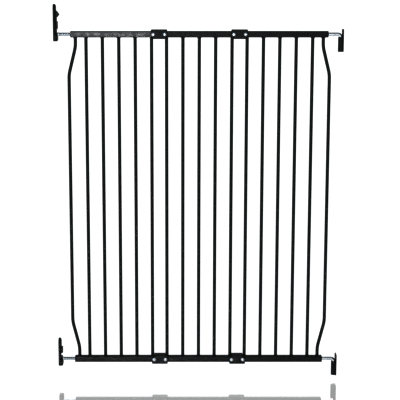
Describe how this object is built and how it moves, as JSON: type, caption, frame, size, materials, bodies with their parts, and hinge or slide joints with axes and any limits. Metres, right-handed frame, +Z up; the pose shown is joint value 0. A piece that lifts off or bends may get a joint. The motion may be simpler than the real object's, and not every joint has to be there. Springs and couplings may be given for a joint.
{
  "type": "safety gate",
  "caption": "Extra-tall black steel safety gate of joined barred panels, hung on lift-off wall hinges, with notched latch fittings and a sliding lock.",
  "frame": {"origin": "middle of the opening, level with the foot of the lower hinge fitting", "axes": "+Z up, X across the opening with the hinges at +X and the latch at -X, front of the gate towards -Y"},
  "size_m": [0.8476, 0.034, 1.1225],
  "materials": {
    "powder_coat": "fine-textured matte black powder coat",
    "black_plastic": "matte moulded black plastic",
    "zinc_steel": "bright zinc plate",
    "nylon": "smooth dark nylon"
  },
  "bodies": {
    "wall_fittings": {"upper_hinge_fitting": "black_plastic", "lower_hinge_fitting": "black_plastic", "upper_latch_fitting": "black_plastic", "lower_latch_fitting": "black_plastic", "swing_stop": "black_plastic"},
    "hinge_bushes": {"upper_hinge_bush": "nylon", "lower_hinge_bush": "nylon"},
    "hinge_bolts": {"upper_hinge_bolt": "zinc_steel", "lower_hinge_bolt": "zinc_steel"},
    "gate": {"left_top_rail": "powder_coat", "left_bottom_rail": "powder_coat", "centre_top_rail": "powder_coat", "centre_bottom_rail": "powder_coat", "right_top_rail": "powder_coat", "right_bottom_rail": "powder_coat", "left_bar_1": "powder_coat", "left_bar_2": "powder_coat", "left_bar_3": "powder_coat", "left_bar_4": "powder_coat", "left_bar_5": "powder_coat", "centre_bar_1": "powder_coat", "centre_bar_2": "powder_coat", "centre_bar_3": "powder_coat", "centre_bar_4": "powder_coat", "centre_bar_5": "powder_coat", "right_bar_1": "powder_coat", "right_bar_2": "powder_coat", "right_bar_3": "powder_coat", "right_bar_4": "powder_coat", "right_bar_5": "powder_coat", "left_curved_bar": "powder_coat", "right_curved_bar": "powder_coat", "left_top_connector_front": "black_plastic", "left_top_connector_rear": "black_plastic", "left_bottom_connector_front": "black_plastic", "left_bottom_connector_rear": "black_plastic", "right_top_connector_front": "black_plastic", "right_top_connector_rear": "black_plastic", "right_bottom_connector_front": "black_plastic", "right_bottom_connector_rear": "black_plastic", "left_top_connector_bolts": "zinc_steel", "left_bottom_connector_bolts": "zinc_steel", "right_top_connector_bolts": "zinc_steel", "right_bottom_connector_bolts": "zinc_steel", "left_top_connector_nuts": "zinc_steel", "left_bottom_connector_nuts": "zinc_steel", "right_top_connector_nuts": "zinc_steel", "right_bottom_connector_nuts": "zinc_steel", "left_top_plug": "black_plastic", "left_bottom_plug": "black_plastic", "right_top_plug": "black_plastic", "right_bottom_plug": "black_plastic", "left_top_spindle_nut": "zinc_steel", "left_bottom_spindle_nut": "zinc_steel", "right_top_spindle_nut": "zinc_steel", "right_bottom_spindle_nut": "zinc_steel"},
    "upper_latch_bolt": {"upper_latch_bolt": "zinc_steel"},
    "lower_latch_bolt": {"lower_latch_bolt": "zinc_steel"},
    "lock": {"lock_slider": "black_plastic"}
  },
  "joints": [
    {"name": "gate_swing", "type": "hinge", "parent": "wall_fittings", "child": "hinge_bushes", "pos_m": [0.41625, 0, 0.051], "axis": [0, 0, -1], "range_deg": [0, 87]},
    {"name": "gate_lift", "type": "slide", "parent": "hinge_bushes", "child": "hinge_bolts", "axis": [0, 0, 1], "range_m": [0, 0.012]},
    {"name": "hinge_bolt_adjust", "type": "slide", "parent": "hinge_bolts", "child": "gate", "axis": [1, 0, 0], "range_m": [0, 0.02]},
    {"name": "upper_latch_bolt_adjust", "type": "slide", "parent": "gate", "child": "upper_latch_bolt", "axis": [1, 0, 0], "range_m": [0, 0.03]},
    {"name": "lower_latch_bolt_adjust", "type": "slide", "parent": "gate", "child": "lower_latch_bolt", "axis": [1, 0, 0], "range_m": [0, 0.03]},
    {"name": "lock_slide", "type": "slide", "parent": "wall_fittings", "child": "lock", "axis": [0, 0, 1], "range_m": [0, 0.012]}
  ],
  "couplings": [
    {"joint": "lock_slide", "follows": "gate_lift", "ratio": 1}
  ]
}
